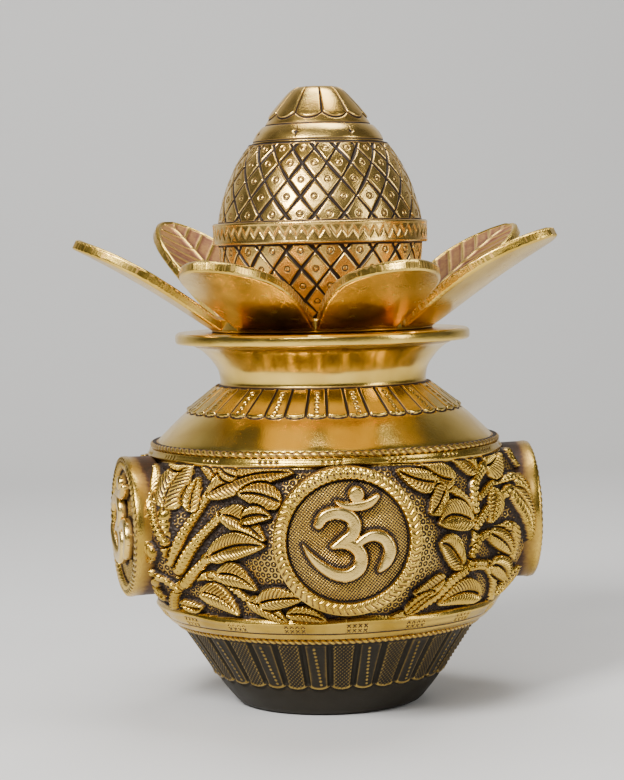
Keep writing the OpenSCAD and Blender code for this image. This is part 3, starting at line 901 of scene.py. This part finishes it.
def lattice(theta, run, size, r_here):
    """Crossing spiral cuts with a ring punch in each cell: their height and their patina. run is the length
    along the side."""
    a = theta / 360 * LATTICE
    b = run / size
    cell = TAU * r_here / LATTICE
    fine = np.sqrt(1 / np.square(cell) + 1 / size**2)
    depth = 0
    for f in (a + b, a - b):
        d = (0.5 - np.abs(f % 1 - 0.5)) / fine
        wide = 0.85 + 0.3 * np.sin(TAU * (a * 3 / LATTICE + b * 0.7) + 3 * f)
        depth = np.maximum(depth, np.clip(1 - d / wide, 0, 1))
    ca = np.round(a + b - 0.5) + 0.5
    cb = np.round(a - b - 0.5) + 0.5
    d = np.hypot((a - (ca + cb) / 2) * cell, (b - (ca - cb) / 2) * size)
    return ring_mark(d, 1.15) - 1.0 * depth, 1.7 * depth + 0.35 * bump((d - 1.15) / 0.3)


def upper_relief(theta, s, z):
    """The lattice between the belt and the cap."""
    r_here = np.interp(z, outer_upper[:, 1], outer_upper[:, 0])
    edge = smooth((z - SEAM_Z - 5.0) / 0.4) * smooth((CAP_Z - 0.7 - z) / 0.4)
    h, dark = lattice(theta, s, LATTICE_RISE, r_here)
    h = h * edge + 0.05 * wander(h.shape, CELL, 4)
    dark = dark * edge + 0.9 * bump((z - CAP_Z + 0.2) / 0.6) + 0.7 * bump((z - SEAM_Z - 4.7) / 0.5)
    return h, np.clip(dark + 0.6 * grime(h, CELL, True), 0, 1)


def lower_relief(theta, s, z):
    """The lattice between the cup and the belt."""
    r_here = np.interp(z, outer_lower[:, 1], outer_lower[:, 0])
    edge = smooth((SEAM_Z - 4.9 - z) / 0.4)
    h, dark = lattice(theta, s, LATTICE_RISE, r_here)
    h = h * edge + 0.05 * wander(h.shape, CELL, 4)
    dark = dark * edge + 0.8 * bump((z - SEAM_Z + 4.8) / 0.5) + 0.6 * smooth((COCONUT_FOOT + 6 - z) / 6)
    return h, np.clip(dark + 0.6 * grime(h, CELL, True), 0, 1)


def belt_relief(theta, s, z):
    """A zigzag cut between two fine ridges."""
    x = np.radians(theta) * BELT_R
    y = (z - SEAM_Z) / BELT_HALF
    zig = 2 * np.abs((x / 4.6) % 1 - 0.5) - 0.5
    h = -0.4 * bump((y - 0.7 * zig) / 0.2) * (np.abs(y) < 0.7)
    h += 0.2 * bump((np.abs(y) - 0.86) / 0.1)
    return h, np.clip(0.08 + grime(h, CELL, True, 2.0, 0.2) + 0.8 * smooth((np.abs(y) - 0.93) / 0.06), 0, 1)


PETALS = 11
PETAL_FOOT_Z, COLLAR_TOP_Z, STAR_Z, GROOVE_Z = 240.4, 238.4, 234.6, 231.6
STARS, STAR_R = 7, 25


def cap_relief(theta, s, z):
    """Rounded petals that hang from the flat top, over a smooth collar with small star punches."""
    half = 180 / PETALS
    x = (theta % (2 * half) - half) / half
    foot = PETAL_FOOT_Z + 2.2 * np.square(x)
    inside = np.minimum((1 - np.abs(x)) * 5.2, z - foot)
    petal_zone = z > COLLAR_TOP_Z + 0.2
    h = 0.55 * smooth(inside / 0.6) * (z > COLLAR_TOP_Z) - 0.45 * bump((inside - 0.1) / 0.4) * petal_zone
    h -= 0.5 * bump((z - COLLAR_TOP_Z) / 0.4)
    around = np.radians((theta % (360 / STARS)) - 180 / STARS) * STAR_R
    star = smooth((1.05 - np.sqrt(np.abs(around) / 2.6) - np.sqrt(np.abs(z - STAR_Z) / 2.3)) / 0.35)
    groove = bump((z - GROOVE_Z) / 0.35)
    h -= 0.45 * star + 0.35 * groove
    h = (h + 0.04 * wander(h.shape, CELL, 4)) * smooth((TOP_Z - z) / 0.8)
    dark = 0.9 * bump((inside - 0.1) / 0.35) * petal_zone + 0.9 * bump((z - COLLAR_TOP_Z) / 0.4)
    dark += 0.8 * star + 0.7 * groove
    return h, np.clip(dark + grime(h, CELL, True, 1.6, 0.2), 0, 1)


COCONUT_COLUMNS = 34 * LATTICE

lower_side = spline([(24, COCONUT_FOOT), (31.5, 162.5), (38, 171), (41.3, 181), (COCONUT_R, 189.5)])
outer_lower = even(np.vstack([lower_side, [(COCONUT_R, SEAM_Z)]]), 104)
inner_lower = even(spline([(COCONUT_BORE, SEAM_Z), (39, 181), (35, 171), (24, COCONUT_FOOT + 2.4),
                           (BORE_R, COCONUT_FOOT + 2.6)]), 12)
place(turned("coconut_lower_relief", outer_lower, inner_lower, COCONUT_COLUMNS, lower_relief),
      "lid", ["coconut_lower"], COCONUT)

upper_side = spline([(COCONUT_R, 198.5), (41, 204.5), (38.2, 213.5), (33.8, 223), (28.6, CAP_Z)])
outer_upper = even(np.vstack([[(COCONUT_R, SEAM_Z)], upper_side]), 108)
inner_upper = even(spline([(24, CAP_Z), (31, 222), (38.5, 204), (COCONUT_BORE, SEAM_Z)]), 10)
place(turned("coconut_upper_relief", outer_upper, inner_upper, COCONUT_COLUMNS, upper_relief),
      "lid", ["coconut_upper"], COCONUT)

belt_outer = even([(COCONUT_R + 0.1, SEAM_Z - BELT_HALF), (BELT_R - 0.5, SEAM_Z - BELT_HALF),
                   (BELT_R, SEAM_Z - 3.8), (BELT_R, SEAM_Z + 3.8),
                   (BELT_R - 0.5, SEAM_Z + BELT_HALF), (COCONUT_R + 0.1, SEAM_Z + BELT_HALF)], 36)
belt_inner = np.array([(COCONUT_R, SEAM_Z + 4), (COCONUT_R, SEAM_Z - 4)])
place(turned("coconut_belt_relief", belt_outer, belt_inner, COCONUT_COLUMNS, belt_relief),
      "lid", ["coconut_belt"], COCONUT)

cap_collar = spline([(26.6, CAP_Z), (27.3, 231.2), (25.4, 235), (22.6, 238), (21.4, 239)])
cap_petals = spline([(20.8, 240), (18.9, 243), (14.6, 248), (10.4, TOP_Z - 1.8), (6.5, TOP_Z - 0.3),
                     (0.3, TOP_Z)])
cap_outer = even(np.vstack([cap_collar, cap_petals]), 140)
cap_inner = even([(0.3, TOP_Z - 3.2), (9, TOP_Z - 5), (18, 238), (22, CAP_Z)], 10)
place(turned("coconut_cap_relief", cap_outer, cap_inner, 56 * PETALS, cap_relief),
      "lid", ["coconut_cap"], COCONUT)

# ---- the CAD pieces that stay as they are ----

for node in ("locating_collar", "lid_stud", "lid_washer", "lid_nut"):
    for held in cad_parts[node].material_slots:
        held.material = PLAIN


# ---- floor, light and camera ----

def plain(name, color, rough):
    m = bpy.data.materials.new(name)
    m.use_nodes = True
    shader = m.node_tree.nodes["Principled BSDF"]
    shader.inputs["Base Color"].default_value = (*color, 1)
    shader.inputs["Roughness"].default_value = rough
    return m


# The floor in metres: level out to its bend behind the pot, then up as a wall
FLOOR_HALF, FLOOR_FRONT, FLOOR_BACK, FLOOR_BEND, WALL_TOP = 3, -2.5, 0.9, 0.5, 3
bend = [(FLOOR_BACK + FLOOR_BEND * math.sin(a), FLOOR_BEND * (1 - math.cos(a)))
        for a in np.linspace(0.1, 1.5, 16)]
sweep_line = [(FLOOR_FRONT, 0), (FLOOR_BACK, 0), *bend, (FLOOR_BACK + FLOOR_BEND, WALL_TOP)]
corners = [(x, y, z) for y, z in sweep_line for x in (-FLOOR_HALF, FLOOR_HALF)]
strips = [(2 * i, 2 * i + 1, 2 * i + 3, 2 * i + 2) for i in range(len(sweep_line) - 1)]
floor_mesh = bpy.data.meshes.new("floor")
floor_mesh.from_pydata(corners, [], strips)
floor_mesh.polygons.foreach_set("use_smooth", [True] * len(strips))
floor = bpy.data.objects.new("floor", floor_mesh)
floor.data.materials.append(plain("pale_floor", (0.72, 0.71, 0.69), 0.6))
bpy.context.scene.collection.objects.link(floor)

world = bpy.data.worlds.new("studio")
bpy.context.scene.world = world
world.use_nodes = True
world.node_tree.nodes["Background"].inputs[0].default_value = (0.55, 0.55, 0.56, 1)
world.node_tree.nodes["Background"].inputs[1].default_value = 0.17


LIGHT_AIM = Vector((0, 0, 0.12))


def area_light(name, at, size, watts):
    """A soft light at a place in metres, turned towards the pot's middle."""
    lamp = bpy.data.lights.new(name, "AREA")
    lamp.shape = "RECTANGLE"
    lamp.size, lamp.size_y = size
    lamp.energy = watts
    ob = bpy.data.objects.new(name, lamp)
    ob.location = at
    ob.rotation_euler = (LIGHT_AIM - Vector(at)).to_track_quat("-Z", "Y").to_euler()
    bpy.context.scene.collection.objects.link(ob)


area_light("key", (-0.8, -1.05, 1.15), (0.5, 0.5), 42)
area_light("fill", (1.2, -0.8, 0.6), (0.3, 0.9), 7)
area_light("top", (0.1, 0.2, 1.4), (0.8, 0.5), 12)
area_light("front", (-0.15, -1.1, 1.1), (0.7, 0.4), 5)

# Where the camera stands, in metres, and how it is turned, in degrees
CAMERA_TURN, CAMERA_HEIGHT, CAMERA_AWAY = -5.5, 0.186, 0.912
CAMERA_DOWN, CAMERA_ROLL, CAMERA_SIDE = 3.58, 1.3, -0.3
camera = bpy.data.objects.new("camera", bpy.data.cameras.new("camera"))
turn = Matrix.Rotation(math.radians(CAMERA_TURN), 4, "Z")
side = Matrix.Rotation(math.radians(-CAMERA_SIDE), 4, "Z")
down = Matrix.Rotation(math.radians(90 - CAMERA_DOWN), 4, "X")
roll = Matrix.Rotation(math.radians(-CAMERA_ROLL), 4, "Z")
aim = side @ down @ roll
camera.matrix_world = turn @ Matrix.Translation((0, -CAMERA_AWAY, CAMERA_HEIGHT)) @ aim
camera.data.lens = 101.5
camera.data.sensor_width = 36
bpy.context.scene.collection.objects.link(camera)
bpy.context.scene.camera = camera
